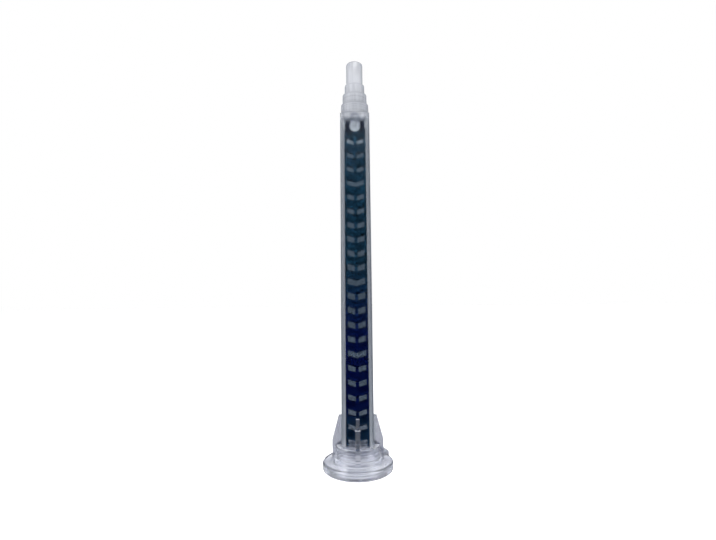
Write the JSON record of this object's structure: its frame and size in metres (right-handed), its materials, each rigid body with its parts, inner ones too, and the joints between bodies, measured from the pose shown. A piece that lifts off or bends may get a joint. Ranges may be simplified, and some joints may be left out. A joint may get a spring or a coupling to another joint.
{
  "type": "static mixing nozzle",
  "caption": "Clear square static mixing nozzle with a round bell flange, finned neck and stepped outlet tip, and a dark mixing element in its channel.",
  "frame": {"origin": "centre of the flange's flat underside, at the inlet", "axes": "+Z along the flow axis from inlet to outlet, +X to the right in the picture, +Y away from the viewer"},
  "size_m": [0.0244, 0.0244, 0.1439],
  "materials": {
    "housing": "translucent natural polypropylene, milky and slightly glossy",
    "mixing_element": "dark navy moulded plastic, satin"
  },
  "bodies": {
    "root": {"housing": "housing", "mixing_element": "mixing_element"}
  },
  "joints": []
}
